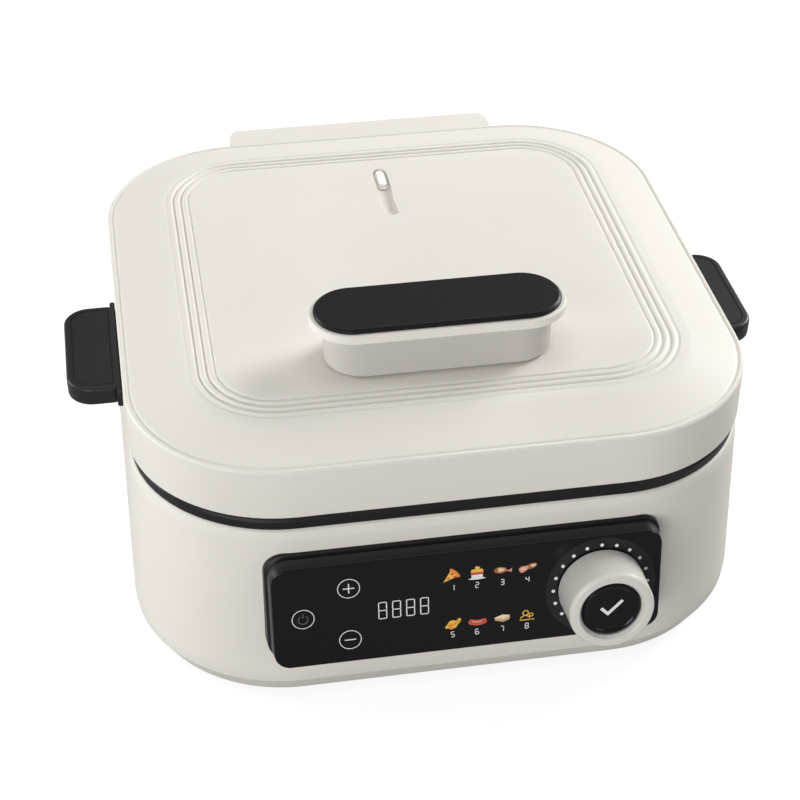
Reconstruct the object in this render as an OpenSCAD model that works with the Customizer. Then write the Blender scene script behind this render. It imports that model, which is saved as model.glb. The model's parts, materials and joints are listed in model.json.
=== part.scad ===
// Electric pizza maker: rounded-square base with a lift-up lid, side handles,
// a front control panel with a turning knob and a press button, and a sliding steam vent.
// Millimetres, +Z up, +Y to the rear. The origin is on the floor under the middle of the whole object.

/* [Body] */
// Width of the lid and of the top of the base
body_w = 340; // [330:1:350]
// Depth of the lid and of the top of the base
body_d = 344; // [334:1:354]
// Plan corner radius of the body
corner_r = 83; // [80:1:86]
// Height of the rubber feet
foot_h = 6; // [4:0.5:10]
// Height of the base shell
base_h = 117; // [112:1:125]
// Extra half width of the base at its widest, near the floor
flare = 4.2; // [2:0.1:5]
// Wall thickness of the moulded shells
wall = 2.8; // [2.4:0.1:3.2]
// Height of the dark seam between base and lid
seam_h = 7.2; // [7:0.1:9]

/* [Lid] */
// Height of the lid's upright side
lid_side_h = 29.8; // [28:0.5:36]
// Rise from the lid's edge to its flat middle
crown_h = 10; // [8:0.5:12]
// Spacing of the grooves round the lid's middle
groove_pitch = 4.5; // [4:0.1:5]
// Largest opening angle of the lid, in degrees
lid_open = 95; // [60:1:95]
// Distance of the hinge axis behind the lid's rear side
hinge_back = 15; // [14.5:0.5:18]
// Half width of the hinge block
hinge_block_hw = 86; // [70:1:88]

/* [Lid handle] */
// Distance of the lid handle in front of the middle
grip_y = 89.5; // [86:0.5:93]
// Length of the black handle cap
grip_l = 134; // [110:1:140]
// Depth of the black handle cap
grip_d = 42.5; // [40:0.5:46]
// Height of the handle post under its flange
grip_post_h = 24.2; // [20:0.2:30]

/* [Side handles] */
// Length of each side handle
side_l = 84; // [70:1:100]
// How far each side handle stands out from the body
side_out = 31; // [26:1:36]
// Thickness of each side handle
side_t = 11.5; // [10:0.5:13]

/* [Control panel] */
// Width of the panel's front face
panel_w = 209; // [200:1:214]
// Height of the panel's front face
panel_h = 62; // [60:1:66]
// Lean of the panel, in degrees
panel_tilt = 7.8; // [5:0.1:9]
// Distance of the panel's front in front of the body at mid height
panel_out = 17.8; // [17:0.1:20]
// Sideways place of the knob on the panel
knob_x = 71.5; // [66:0.5:74]
// Radius of the knob at its root
knob_r = 23.4; // [21:0.1:24]
// Height of the knob above the panel
knob_h = 24.5; // [22:0.5:26]
// Radius of the press button in the knob
button_r = 16; // [15:0.1:17.2]
// Travel of the press button
button_travel = 1.5; // [1:0.1:1.5]

/* [Vent] */
// Width of the vent slot
vent_w = 9; // [8:0.1:10]
// Length of the vent slot
vent_l = 56; // [52:1:60]
// Place of the middle of the vent slot behind the middle of the lid
vent_y = 81; // [78:1:84]
// Travel of the vent slider
vent_travel = 32; // [20:1:32]

/* [Cooking space] */
// Height of the pan's floor above the underside of the base
pan_lift = 63.6; // [60:0.2:72]
// Radius of the lower heater's ring
lower_ring_r = 100; // [90:1:104]
// Radius of the upper heater's ring
upper_ring_r = 95; // [90:1:98]
// Diameter of the heater tubes
tube_d = 8; // [6:0.5:8]

/* [Hidden] */
$fn = 96;
cx = body_w / 2 - corner_r;
cy = body_d / 2 - corner_r;
base_top = foot_h + base_h;
lid_bot = base_top + seam_h;
lid_edge = lid_bot + lid_side_h;
lid_top = lid_edge + crown_h;
ring_top = lid_bot - 0.8;
handle_screw_y = [-26, 26];
handle_screw_z = base_top + 2.6;
wide_z = foot_h + 17;
hinge_y = body_d / 2 + hinge_back;
hinge_z = lid_bot;
hinge_r = hinge_back - 2;
pad_y = body_d / 2 + 5;
bracket_z = base_top - 34;
bracket_screw_z = [bracket_z + 7, bracket_z + 22];
ear_gap = 0.6;
ear_t = 8;
pin_r = 4;
bore_r = 4.06;
pin_in = 16;
post_d = corner_r - 21;
panel_z = foot_h + 69;
panel_y = body_d / 2 + panel_out;
face_dy = 1.3;
knob_y = 0.8;
fascia_t = 1.6;
board_z = -14.4;
board_sx = panel_w / 2 - 20.5;
board_sy = panel_h / 2 - 10;
key_places = [[16 - panel_w / 2, face_dy - 0.4], [40.5 - panel_w / 2, face_dy + panel_h / 2 - 15.2],
    [40.5 - panel_w / 2, face_dy - panel_h / 2 + 14.3]];
inlet_z = foot_h + 39.5;
pcb_z = foot_h + 10;
pcb_t = 1.6;
pcb_x = -0.288 * body_w;
pcb_y = 0.0465 * body_d;
pcb_w = 0.253 * body_w;
pcb_d = 0.1977 * body_d;
pcb_sx = [pcb_x + 6, pcb_x + pcb_w - 6];
pcb_sy = [pcb_y + 6, pcb_y + pcb_d - 6];
bracket_hw = hinge_block_hw + 12;
bracket_sx = hinge_block_hw - 16;
bush_r = 4.5;
stem_r = 2.4;
pan_flange_t = 1.2;
pan_top = ring_top + pan_flange_t;
pan_floor = foot_h + pan_lift;
pan_skin = 1.6;
heat_z = pan_floor - pan_skin - tube_d / 2 - 4;
shield_z = foot_h + 0.535 * pan_lift;
shield_t = 1.2;
liner_z = lid_bot + 20;
liner_t = 0.8;
liner_screw_in = 12;
liner_flange_z = lid_bot + 3.3;
top_heat_z = liner_z - 9;
flange_z = lid_top + grip_post_h;
grip_screw_x = 40;
cap_z = flange_z + 3.9;
cap_h = 2.8;
cap_r = grip_d / 2 - 0.5;
slot_floor = lid_top - 3.2;
slider_l = 22;
slider_y = vent_y + (vent_l - slider_l) / 2 - 0.3;
tail_angles = [80, 100];
probe_t = 5;
coils = 8;
coil_pitch = (pan_floor - pan_skin - probe_t - shield_z - shield_t) / coils;
key_pitch = (-board_z - fascia_t) / coils;
front_reach = panel_y + (knob_r - 2.4) * sin(panel_tilt) + knob_h * cos(panel_tilt);
rear_reach = hinge_y + hinge_r;
y_shift = (front_reach - rear_reach) / 2;

// Moves a sub-part so that the origin is under the middle of the whole object.
module placed() {
    translate([0, y_shift, 0]) children();
}

// Flat rounded rectangle given by half sizes and corner radius.
module rounded(hw, hd, r) {
    union() {
        square([2 * hw - 2 * r, 2 * hd], center = true);
        square([2 * hw, 2 * hd - 2 * r], center = true);
        for (sx = [-1, 1], sy = [-1, 1])
            translate([sx * (hw - r), sy * (hd - r)]) circle(r);
    }
}

// Plan of the body grown from its corner centres by the radius r.
module plan(r) {
    rounded(cx + r, cy + r, r);
}

// Stadium along Y, given its width and length.
module stadium(w, l) {
    union() {
        square([w, l - w], center = true);
        translate([0, (l - w) / 2]) circle(w / 2);
        translate([0, -(l - w) / 2]) circle(w / 2);
    }
}

// A profile (radius, height) carried round a rounded rectangle with the given corner centres.
module carried(hx, hy) {
    for (q = [[1, 1, 0], [-1, 1, 90], [-1, -1, 180], [1, -1, 270]])
        translate([q[0] * hx, q[1] * hy, 0]) rotate([0, 0, q[2]]) rotate_extrude(angle = 90) children();
    for (s = [0, 180]) {
        rotate([0, 0, s]) translate([hx, hy, 0]) rotate([90, 0, 0]) linear_extrude(2 * hy) children();
        rotate([0, 0, s + 90]) translate([hy, hx, 0]) rotate([90, 0, 0]) linear_extrude(2 * hx) children();
    }
}

module corner_places() {
    for (sx = [-1, 1], sy = [-1, 1])
        translate([sx * (cx + post_d * cos(45)), sy * (cy + post_d * sin(45)), 0]) children();
}

// Outline of the base side, from the floor edge over the low crease to the rounded shoulder.
function base_side(d) = [
    [corner_r + flare - 7.7 - d, foot_h],
    [corner_r + flare - 1.3 - d, foot_h + 11],
    [corner_r + flare - 0.3 - d, foot_h + 13],
    [corner_r + flare - d, wide_z],
    [corner_r + 0.2 - d, base_top - 5.5],
    [corner_r - 0.7 - d, base_top - 2.2],
    [corner_r - 2.2 - d, base_top - 0.6],
    [corner_r - 4.2 - d, base_top]
];

module base_outline_profile(grow) {
    polygon(concat([[0, foot_h]], base_side(-grow), [[0, base_top]]));
}

module base_solid(grow) {
    carried(cx, cy) base_outline_profile(grow);
    translate([-cx, -cy, foot_h]) cube([2 * cx, 2 * cy, base_h]);
}

module panel_place() {
    translate([0, -panel_y, panel_z]) rotate([90 - panel_tilt, 0, 0]) children();
}

module base_shell() {
    color([0.86, 0.84, 0.80]) placed()
    difference() {
        union() {
            carried(cx, cy) polygon(concat(base_side(0), [
                [corner_r - 4.2 - wall, base_top],
                [corner_r - 0.4 - wall, base_top - 5.5],
                [corner_r + flare - wall - 0.2, wide_z],
                [corner_r + flare - 1.5 - wall, foot_h + 12],
                [corner_r + flare - 7.7 - wall, foot_h]]));
            corner_places() translate([0, 0, foot_h + 3]) cylinder(r = 6, h = 28);
            for (sx = [-1, 1], sy = [-1, 1])
                translate([sx * cx, sy * cy, 0]) rotate([0, 0, atan2(sy, sx)])
                    translate([post_d, -1.5, foot_h + 14]) cube([22, 3, 17]);
            translate([-bracket_hw, body_d / 2 - 2, bracket_z - 1])
                cube([2 * bracket_hw, pad_y - body_d / 2 + 2, 31]);
            translate([-20, body_d / 2 + flare - 2.6, inlet_z - 15.5]) cube([40, 4, 31]);
        }
        corner_places() translate([0, 0, foot_h + 2]) cylinder(r = 2.1, h = 20);
        translate([-14, body_d / 2 - 12, inlet_z - 10.3]) cube([28, 30, 20.6]);
        for (sx = [-1, 1], z = bracket_screw_z)
            translate([sx * bracket_sx, pad_y + 1, z]) rotate([90, 0, 0]) cylinder(r = 2.1, h = 12);
        panel_place() translate([0, face_dy, -60]) linear_extrude(59)
            rounded(panel_w / 2 - 10, panel_h / 2 - 6, 4);
    }
}

module bottom_plate() {
    color([0.20, 0.20, 0.20]) placed()
    difference() {
        union() {
            translate([0, 0, foot_h]) linear_extrude(2.6) plan(corner_r + flare - 7.7 - wall - 0.3);
            for (x = pcb_sx, y = pcb_sy)
                translate([x, y, foot_h + 2]) cylinder(r = 4, h = pcb_z - foot_h - 2);
        }
        corner_places() translate([0, 0, foot_h - 1]) cylinder(r = 2.3, h = 5);
        for (i = [-6:6])
            translate([i * 12 - 2, -60, foot_h - 1]) cube([4, 46, 5]);
        for (x = pcb_sx, y = pcb_sy)
            translate([x, y, foot_h + 3.5]) cylinder(r = 1.6, h = 8);
    }
}

module feet() {
    color([0.10, 0.10, 0.10]) placed()
    for (sx = [-1, 1], sy = [-1, 1])
        translate([sx * (cx + 25), sy * (cy + 25), 0]) rotate_extrude()
            polygon([[0, 0], [9.5, 0], [10.5, 1], [12, foot_h], [0, foot_h]]);
}

module bottom_screws() {
    color([0.70, 0.70, 0.72]) placed()
    corner_places() {
        translate([0, 0, foot_h - 2.4]) cylinder(r = 4, h = 2.4);
        translate([0, 0, foot_h - 0.5]) cylinder(r = 2, h = 18);
    }
}

module rim_ring() {
    color([0.08, 0.08, 0.08]) placed()
    difference() {
        carried(cx, cy) polygon([
            [corner_r - 11, base_top],
            [corner_r - 2.2, base_top],
            [corner_r - 1.7, base_top + 0.6],
            [corner_r - 1.7, ring_top - 2.6],
            [corner_r - 2.6, ring_top - 1.9],
            [corner_r - 2.6, ring_top],
            [corner_r - 11, ring_top]]);
        for (sx = [-1, 1], y = handle_screw_y)
            translate([sx * (body_w / 2 - 13), y, handle_screw_z]) rotate([0, sx * 90, 0])
                cylinder(r = 1.8, h = 14);
    }
}

module heat_shield() {
    color([0.74, 0.74, 0.75]) placed()
    difference() {
        union() {
            carried(cx, cy) polygon([
                [0, shield_z], [corner_r - 12.8, shield_z], [corner_r - 12.8, base_top - shield_t],
                [corner_r - 8, base_top - shield_t], [corner_r - 8, base_top],
                [corner_r - 12.8 - shield_t, base_top], [corner_r - 12.8 - shield_t, shield_z + shield_t],
                [0, shield_z + shield_t]]);
            translate([-cx, -cy, shield_z]) cube([2 * cx, 2 * cy, shield_t]);
        }
        for (a = tail_angles)
            rotate([0, 0, a]) translate([lower_ring_r, 0, shield_z - 1])
                cylinder(r = tube_d / 2 + 1.5, h = 4);
    }
}

module cooking_pan() {
    color([0.12, 0.12, 0.12]) placed()
    union() {
        carried(cx, cy) polygon([
            [0, pan_floor - pan_skin], [corner_r - 23, pan_floor - pan_skin],
            [corner_r - 17.5, pan_floor + 4], [corner_r - 14.6, pan_top - pan_flange_t],
            [corner_r - 7, pan_top - pan_flange_t], [corner_r - 7, pan_top], [corner_r - 16.2, pan_top],
            [corner_r - 19.1, pan_floor + 4.6], [corner_r - 23.7, pan_floor], [0, pan_floor]]);
        translate([-cx, -cy, pan_floor - pan_skin]) cube([2 * cx, 2 * cy, pan_skin]);
    }
}

module tube_ring(r, a0, sweep) {
    rotate([0, 0, a0]) rotate_extrude(angle = sweep) translate([r, 0]) circle(tube_d / 2);
}

module lower_heater() {
    color([0.45, 0.44, 0.43]) placed()
    union() {
        translate([0, 0, heat_z]) tube_ring(lower_ring_r, 100, 340);
        for (a = tail_angles)
            rotate([0, 0, a]) translate([lower_ring_r, 0, shield_z - 8])
                cylinder(r = tube_d / 2 + 0.6, h = heat_z - shield_z + 8 + tube_d / 2 + 0.6);
    }
}

module lower_heater_clips() {
    color([0.78, 0.78, 0.80]) placed()
    for (a = [0, 150, 210, 270])
        difference() {
            rotate([0, 0, a]) translate([lower_ring_r - tube_d / 2 - 3, -4, shield_z + shield_t])
                cube([tube_d + 6, 8, heat_z - shield_z]);
            translate([0, 0, heat_z]) rotate_extrude()
                translate([lower_ring_r, 0]) circle(tube_d / 2 + 0.02);
        }
}

module temperature_probe() {
    color([0.82, 0.82, 0.84]) placed()
    union() {
        translate([0, 0, pan_floor - pan_skin - probe_t]) cylinder(r = 13, h = probe_t);
        translate([0, 0, shield_z + shield_t]) cylinder(r = 5, h = pan_floor - pan_skin - shield_z - 2);
    }
}

module probe_spring() {
    color([0.70, 0.70, 0.72]) placed()
    for (i = [0:coils - 1])
        translate([0, 0, shield_z + shield_t + (i + 0.5) * coil_pitch])
            rotate_extrude() translate([6.6 + coil_pitch / 2, 0]) circle(coil_pitch / 2 - 0.05);
}

module thermal_fuse() {
    color([0.75, 0.68, 0.50]) placed()
    translate([40, 30, shield_z - 3.05]) rotate([0, 90, 0]) union() {
        cylinder(r = 3, h = 20);
        translate([0, 0, -10]) cylinder(r = 0.8, h = 40);
    }
}

module side_handle() {
    zt = base_top + seam_h;
    x0 = body_w / 2 + 0.6;
    difference() {
        union() {
            translate([0, 0, zt - side_t]) linear_extrude(side_t) difference() {
                rounded(body_w / 2 + side_out, side_l / 2, 15);
                translate([-500 + x0, -500]) square([500, 1000]);
            }
            translate([x0, -side_l / 2 - 4, zt - side_t + 0.8]) cube([3, side_l + 8, side_t - 1.2]);
            translate([body_w / 2 - 1.7, -side_l / 2, base_top + 1]) cube([4, side_l, 3]);
        }
        translate([0, 0, zt - 0.6]) linear_extrude(2) difference() {
            rounded(body_w / 2 + side_out - 4, side_l / 2 - 4, 11);
            rounded(body_w / 2 + side_out - 4.9, side_l / 2 - 4.9, 10.1);
            translate([-500 + x0 + 4, -500]) square([500, 1000]);
        }
        translate([x0 + 6, -side_l / 2 + 8, zt - side_t - 1]) cube([side_out - 14, side_l - 16, side_t - 3]);
        for (y = handle_screw_y)
            translate([body_w / 2 - 3, y, handle_screw_z]) rotate([0, 90, 0]) cylinder(r = 1.7, h = 10);
    }
}

module right_handle() {
    color([0.16, 0.16, 0.16]) placed() side_handle();
}

module left_handle() {
    color([0.16, 0.16, 0.16]) placed() mirror([1, 0, 0]) side_handle();
}

module side_handle_screws() {
    color([0.70, 0.70, 0.72]) placed()
    for (sx = [-1, 1], y = handle_screw_y)
        translate([sx * (body_w / 2 - 11), y, handle_screw_z]) rotate([0, sx * 90, 0]) union() {
            translate([0, 0, -2.2]) cylinder(r = 2.4, h = 2.2);
            cylinder(r = 1.6, h = 16);
        }
}

module panel_housing() {
    color([0.07, 0.07, 0.07]) placed()
    difference() {
        panel_place() difference() {
            hull() {
                translate([0, face_dy, -fascia_t - 0.5]) linear_extrude(0.5)
                    rounded(panel_w / 2 + 0.2, panel_h / 2 + 0.2, 9, $fn = 32);
                translate([0, face_dy, -34]) linear_extrude(0.5)
                    rounded(panel_w / 2 + 5.6, panel_h / 2 + 5, 12, $fn = 32);
            }
            translate([0, face_dy, -60]) linear_extrude(55.5) rounded(panel_w / 2 - 5, panel_h / 2 - 4, 5);
            translate([0, face_dy, -30]) linear_extrude(40) rounded(panel_w / 2 - 8, panel_h / 2 - 13, 4);
            for (p = key_places)
                translate([p[0], p[1], -30]) cylinder(r = 4.6, h = 40);
        }
        base_solid(0.05);
    }
    color([0.07, 0.07, 0.07]) placed()
    panel_place() for (x = [-board_sx, board_sx], y = [-board_sy, board_sy])
        translate([x, face_dy + y, board_z]) difference() {
            cylinder(r = 3.2, h = -board_z - 4.4);
            translate([0, 0, -1]) cylinder(r = 1.6, h = 8);
        }
}

module panel_fascia() {
    color([0.05, 0.05, 0.05]) placed()
    panel_place() difference() {
        translate([0, face_dy, -fascia_t]) linear_extrude(fascia_t) rounded(panel_w / 2, panel_h / 2, 9);
        translate([knob_x, knob_y, -5]) cylinder(r = 5.2, h = 10);
    }
}

module display_module() {
    color([0.20, 0.20, 0.22]) placed()
    panel_place() translate([-52, -8, board_z]) cube([33, 18, -board_z - fascia_t - 0.05]);
}

module control_board() {
    color([0.10, 0.35, 0.16]) placed()
    panel_place() difference() {
        translate([-panel_w / 2 + 11.5, face_dy - panel_h / 2 + 6.6, board_z - 1.6])
            cube([panel_w - 23, panel_h - 13.2, 1.6]);
        for (x = [-board_sx, board_sx], y = [-board_sy, board_sy])
            translate([x, face_dy + y, board_z - 3]) cylinder(r = 1.7, h = 6);
    }
}

module board_screws() {
    color([0.70, 0.70, 0.72]) placed()
    panel_place() for (x = [-board_sx, board_sx], y = [-board_sy, board_sy])
        translate([x, face_dy + y, board_z - 3.2]) union() {
            cylinder(r = 2.8, h = 1.6);
            cylinder(r = 1.4, h = 8);
        }
}

module touch_springs() {
    color([0.80, 0.72, 0.45]) placed()
    panel_place() for (p = key_places)
        for (i = [0:coils - 1])
            translate([p[0], p[1], board_z + (i + 0.5) * key_pitch])
                rotate_extrude() translate([3.2, 0]) circle(key_pitch / 2 - 0.05);
}

module encoder() {
    color([0.30, 0.30, 0.32]) placed()
    panel_place() translate([knob_x, knob_y, 0]) difference() {
        union() {
            translate([-7, -7, board_z]) cube([14, 14, 7]);
            translate([0, 0, board_z]) cylinder(r = bush_r, h = 10 - board_z);
        }
        translate([0, 0, board_z + 2]) cylinder(r = stem_r + 0.06, h = 40);
    }
}

module knob_ring() {
    color([0.84, 0.82, 0.78]) placed()
    panel_place() translate([knob_x, knob_y, 0]) rotate_extrude() polygon([
        [bush_r + 0.05, 1.2], [7, 1.2], [7, knob_h - 12], [knob_r - 3.5, knob_h - 12], [knob_r - 3.2, 0.8],
        [knob_r, 0.8], [knob_r - 0.5, knob_h - 1.6], [knob_r - 1.6, knob_h],
        [button_r + 1.8, knob_h], [button_r + 0.35, knob_h - 2.4], [button_r + 0.35, knob_h - 9],
        [bush_r + 0.05, knob_h - 9]]);
}

module press_button() {
    color([0.11, 0.11, 0.12]) placed()
    panel_place() translate([knob_x, knob_y, 0]) rotate_extrude() polygon([
        [0, -5], [stem_r, -5], [stem_r, knob_h - 7], [button_r, knob_h - 7], [button_r, knob_h - 3.2],
        [button_r - 1.2, knob_h - 2.1], [button_r - 2.4, knob_h - 2.6], [0, knob_h - 2.6]]);
}

module power_board() {
    color([0.35, 0.28, 0.12]) placed()
    difference() {
        translate([pcb_x, pcb_y, pcb_z]) cube([pcb_w, pcb_d, pcb_t]);
        for (x = pcb_sx, y = pcb_sy)
            translate([x, y, pcb_z - 2]) cylinder(r = 1.7, h = 6);
    }
}

module power_relay() {
    color([0.12, 0.22, 0.45]) placed()
    translate([pcb_x + 48, pcb_y + 24, pcb_z + pcb_t]) cube([22, 17, 15]);
}

module terminal_block() {
    color([0.90, 0.90, 0.88]) placed()
    difference() {
        translate([30, 90, foot_h + 2.6]) cube([36, 16, 14]);
        for (i = [0:2])
            translate([36 + i * 12, 98, foot_h + 8]) cylinder(r = 2.5, h = 12);
    }
}

module mains_inlet() {
    color([0.09, 0.09, 0.09]) placed()
    difference() {
        union() {
            translate([-13.7, body_d / 2 - 11.5, inlet_z - 10]) cube([27.4, 13.5 + flare, 20]);
            translate([-18, body_d / 2 + flare + 1.4, inlet_z - 13.5]) cube([36, 2, 27]);
        }
        translate([-11.5, body_d / 2 - 9, inlet_z - 8]) cube([23, 40, 16]);
    }
}

module inlet_pins() {
    color([0.80, 0.80, 0.80]) placed()
    for (p = [[-7, -3], [7, -3], [0, 2.5]])
        translate([p[0] - 1, body_d / 2 - 9, inlet_z + p[1] - 2]) cube([2, 10, 4]);
}

module hinge_bracket() {
    color([0.60, 0.60, 0.62]) placed()
    difference() {
        union() {
            translate([-bracket_hw, pad_y, bracket_z]) cube([2 * bracket_hw, 3, 29]);
            for (sx = [-1, 1])
                translate([sx * (hinge_block_hw + ear_gap + ear_t / 2) - ear_t / 2, 0, 0]) rotate([90, 0, 90])
                    linear_extrude(ear_t) union() {
                        translate([hinge_y, hinge_z]) circle(11);
                        polygon([[pad_y, bracket_z], [pad_y + 3, bracket_z],
                            [hinge_y + 10.2, hinge_z - 4], [hinge_y, hinge_z],
                            [hinge_y - 10.2, hinge_z - 4], [pad_y, bracket_z + 29]]);
                    }
        }
        translate([-120, hinge_y, hinge_z]) rotate([0, 90, 0]) cylinder(r = pin_r + 0.02, h = 240);
        for (sx = [-1, 1], z = bracket_screw_z)
            translate([sx * bracket_sx, pad_y + 5, z]) rotate([90, 0, 0]) cylinder(r = 2.2, h = 8);
    }
}

module bracket_screws() {
    color([0.70, 0.70, 0.72]) placed()
    for (sx = [-1, 1], z = bracket_screw_z)
        translate([sx * bracket_sx, pad_y + 5.2, z]) rotate([90, 0, 0]) union() {
            cylinder(r = 4, h = 2.2);
            cylinder(r = 1.9, h = 12);
        }
}

module hinge_pins() {
    color([0.78, 0.78, 0.80]) placed()
    for (sx = [-1, 1])
        translate([sx * (hinge_block_hw - pin_in), hinge_y, hinge_z]) rotate([0, sx * 90, 0]) union() {
            cylinder(r = pin_r, h = pin_in + ear_gap + ear_t);
            translate([0, 0, pin_in + ear_gap + ear_t]) cylinder(r = pin_r + 2, h = 1.6);
        }
}

module lid_shell() {
    g0 = corner_r - 36.1;
    color([0.90, 0.88, 0.84]) placed()
    difference() {
        union() {
            carried(cx, cy) polygon(concat([
                [corner_r - wall, lid_bot], [corner_r, lid_bot], [corner_r, lid_edge - 1.6],
                [corner_r - 0.6, lid_edge - 0.4], [corner_r - 1.6, lid_edge],
                [corner_r - 1.9, lid_edge - 0.5], [corner_r - 2.2, lid_edge + 0.1],
                [corner_r - 28, lid_edge + 7.2], [corner_r - 30.5, lid_edge + 8],
                [corner_r - 34.8, lid_edge + 8.35]],
                [for (i = [0:3]) each [
                    [g0 + 0.6 - i * groove_pitch, lid_edge + 8.5 + i * 0.2],
                    [g0 - i * groove_pitch, lid_edge + 7.6 + i * 0.2],
                    [g0 - 0.6 - i * groove_pitch, lid_edge + 8.6 + i * 0.2]]],
                [[g0 - 19, lid_top], [0, lid_top], [0, lid_top - wall], [g0 - 15, lid_top - wall],
                [corner_r - 33, lid_edge + 5.2], [corner_r - wall, lid_edge - wall + 0.6]]));
            translate([-cx, -cy, lid_top - wall]) cube([2 * cx, 2 * cy, wall]);
            translate([0, vent_y, slot_floor - 2]) linear_extrude(lid_top - slot_floor + 1)
                stadium(vent_w + 4, vent_l + 4);
            for (sx = [-1, 1], sy = [-1, 1])
                translate([sx * (cx + liner_screw_in), sy * (cy + liner_screw_in), liner_z + liner_t])
                    cylinder(r = 4, h = lid_top - wall / 2 - liner_z - liner_t);
        }
        translate([0, vent_y, slot_floor]) linear_extrude(20) stadium(vent_w, vent_l);
        for (i = [0:3])
            translate([0, vent_y + vent_l / 2 - 5 - i * 4.5, slot_floor - 5]) cylinder(r = 1.6, h = 10);
        for (sx = [-1, 1], sy = [-1, 1])
            translate([sx * (cx + liner_screw_in), sy * (cy + liner_screw_in), liner_z])
                cylinder(r = 1.7, h = 10);
        for (sx = [-1, 1])
            translate([sx * grip_screw_x, -grip_y, lid_top - 10]) cylinder(r = 2.2, h = 20);
    }
}

module lid_liner() {
    color([0.78, 0.78, 0.79]) placed()
    difference() {
        union() {
            carried(cx, cy) polygon([
                [0, liner_z], [corner_r - 13, liner_z], [corner_r - 9, liner_flange_z],
                [corner_r - wall - 0.4, liner_flange_z], [corner_r - wall - 0.4, liner_flange_z + liner_t],
                [corner_r - 8.3, liner_flange_z + liner_t], [corner_r - 12.3, liner_z + liner_t],
                [0, liner_z + liner_t]]);
            translate([-cx, -cy, liner_z]) cube([2 * cx, 2 * cy, liner_t]);
        }
        for (a = tail_angles)
            rotate([0, 0, a]) translate([upper_ring_r, 0, liner_z - 1])
                cylinder(r = tube_d / 2 + 1.5, h = 4);
        for (sx = [-1, 1], sy = [-1, 1])
            translate([sx * (cx + liner_screw_in), sy * (cy + liner_screw_in), liner_z - 1])
                cylinder(r = 1.9, h = 4);
    }
}

module liner_screws() {
    color([0.70, 0.70, 0.72]) placed()
    for (sx = [-1, 1], sy = [-1, 1])
        translate([sx * (cx + liner_screw_in), sy * (cy + liner_screw_in), liner_z - 1.8]) union() {
            cylinder(r = 3.2, h = 1.8);
            cylinder(r = 1.5, h = 10);
        }
}

module upper_heater() {
    color([0.45, 0.44, 0.43]) placed()
    union() {
        translate([0, 0, top_heat_z]) tube_ring(upper_ring_r, 100, 340);
        for (a = tail_angles)
            rotate([0, 0, a]) translate([upper_ring_r, 0, top_heat_z - tube_d / 2 - 0.6])
                cylinder(r = tube_d / 2 + 0.6, h = 19);
    }
}

module upper_heater_clips() {
    color([0.78, 0.78, 0.80]) placed()
    for (a = [0, 180, 270])
        difference() {
            rotate([0, 0, a]) translate([upper_ring_r - tube_d / 2 - 3, -4, top_heat_z])
                cube([tube_d + 6, 8, liner_z - top_heat_z]);
            translate([0, 0, top_heat_z]) rotate_extrude()
                translate([upper_ring_r, 0]) circle(tube_d / 2 + 0.02);
        }
}

module lid_gasket() {
    color([0.25, 0.25, 0.25]) placed()
    carried(cx, cy) polygon([
        [corner_r - 8.8, lid_bot + 1.4], [corner_r - 8.2, lid_bot + 0.8], [corner_r - 5, lid_bot + 0.8],
        [corner_r - 4.4, lid_bot + 1.6], [corner_r - 4.4, liner_flange_z], [corner_r - 8.8, liner_flange_z]]);
}

module hinge_block() {
    color([0.88, 0.86, 0.82]) placed()
    difference() {
        intersection() {
            translate([-200, 0, 0]) rotate([90, 0, 90]) linear_extrude(400) union() {
                translate([hinge_y, hinge_z]) circle(hinge_r);
                translate([body_d / 2, hinge_z]) square([hinge_back + hinge_r - 4, lid_side_h - 3]);
                translate([body_d / 2, hinge_z]) square([hinge_back + hinge_r, lid_side_h - 7]);
                translate([hinge_y + hinge_r - 4, lid_edge - 7]) circle(4);
            }
            translate([0, 0, -50]) linear_extrude(600) union() {
                translate([-hinge_block_hw, body_d / 2]) square([2 * hinge_block_hw, hinge_back]);
                translate([-hinge_block_hw + hinge_r, body_d / 2])
                    square([2 * hinge_block_hw - 2 * hinge_r, hinge_back + hinge_r]);
                for (sx = [-1, 1])
                    translate([sx * (hinge_block_hw - hinge_r), hinge_y]) circle(hinge_r);
            }
        }
        for (sx = [-1, 1])
            translate([sx * (hinge_block_hw - pin_in - 0.4), hinge_y, hinge_z]) rotate([0, sx * 90, 0])
                cylinder(r = bore_r, h = 40);
    }
}

module grip_post() {
    color([0.88, 0.86, 0.82]) placed()
    translate([0, -grip_y, 0]) difference() {
        union() {
            translate([0, 0, lid_top]) linear_extrude(grip_post_h)
                rounded(grip_l / 2 - 5, grip_d / 2 - 1, grip_d / 2 - 1.5);
            translate([0, 0, flange_z]) linear_extrude(cap_z - flange_z)
                rounded(grip_l / 2 + 2.5, grip_d / 2 + 2.5, grip_d / 2 + 2);
        }
        difference() {
            translate([0, 0, lid_top - 1]) linear_extrude(grip_post_h - 1)
                rounded(grip_l / 2 - 8, grip_d / 2 - 4, grip_d / 2 - 4.5);
            for (sx = [-1, 1])
                translate([sx * grip_screw_x, 0, lid_top - 2]) cylinder(r = 5, h = grip_post_h + 2);
        }
        for (sx = [-1, 1])
            translate([sx * grip_screw_x, 0, lid_top - 1]) cylinder(r = 1.7, h = 16);
    }
}

module grip_cap() {
    color([0.14, 0.14, 0.14]) placed()
    translate([0, -grip_y, 0]) union() {
        carried(grip_l / 2 - cap_r, 0.5) polygon([
            [0, cap_z], [cap_r - 0.4, cap_z], [cap_r, cap_z + 0.4], [cap_r, cap_z + cap_h - 1.4],
            [cap_r - 0.5, cap_z + cap_h - 0.5], [cap_r - 1.6, cap_z + cap_h], [0, cap_z + cap_h]]);
        translate([cap_r - grip_l / 2, -0.5, cap_z]) cube([grip_l - 2 * cap_r, 1, cap_h]);
    }
}

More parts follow.
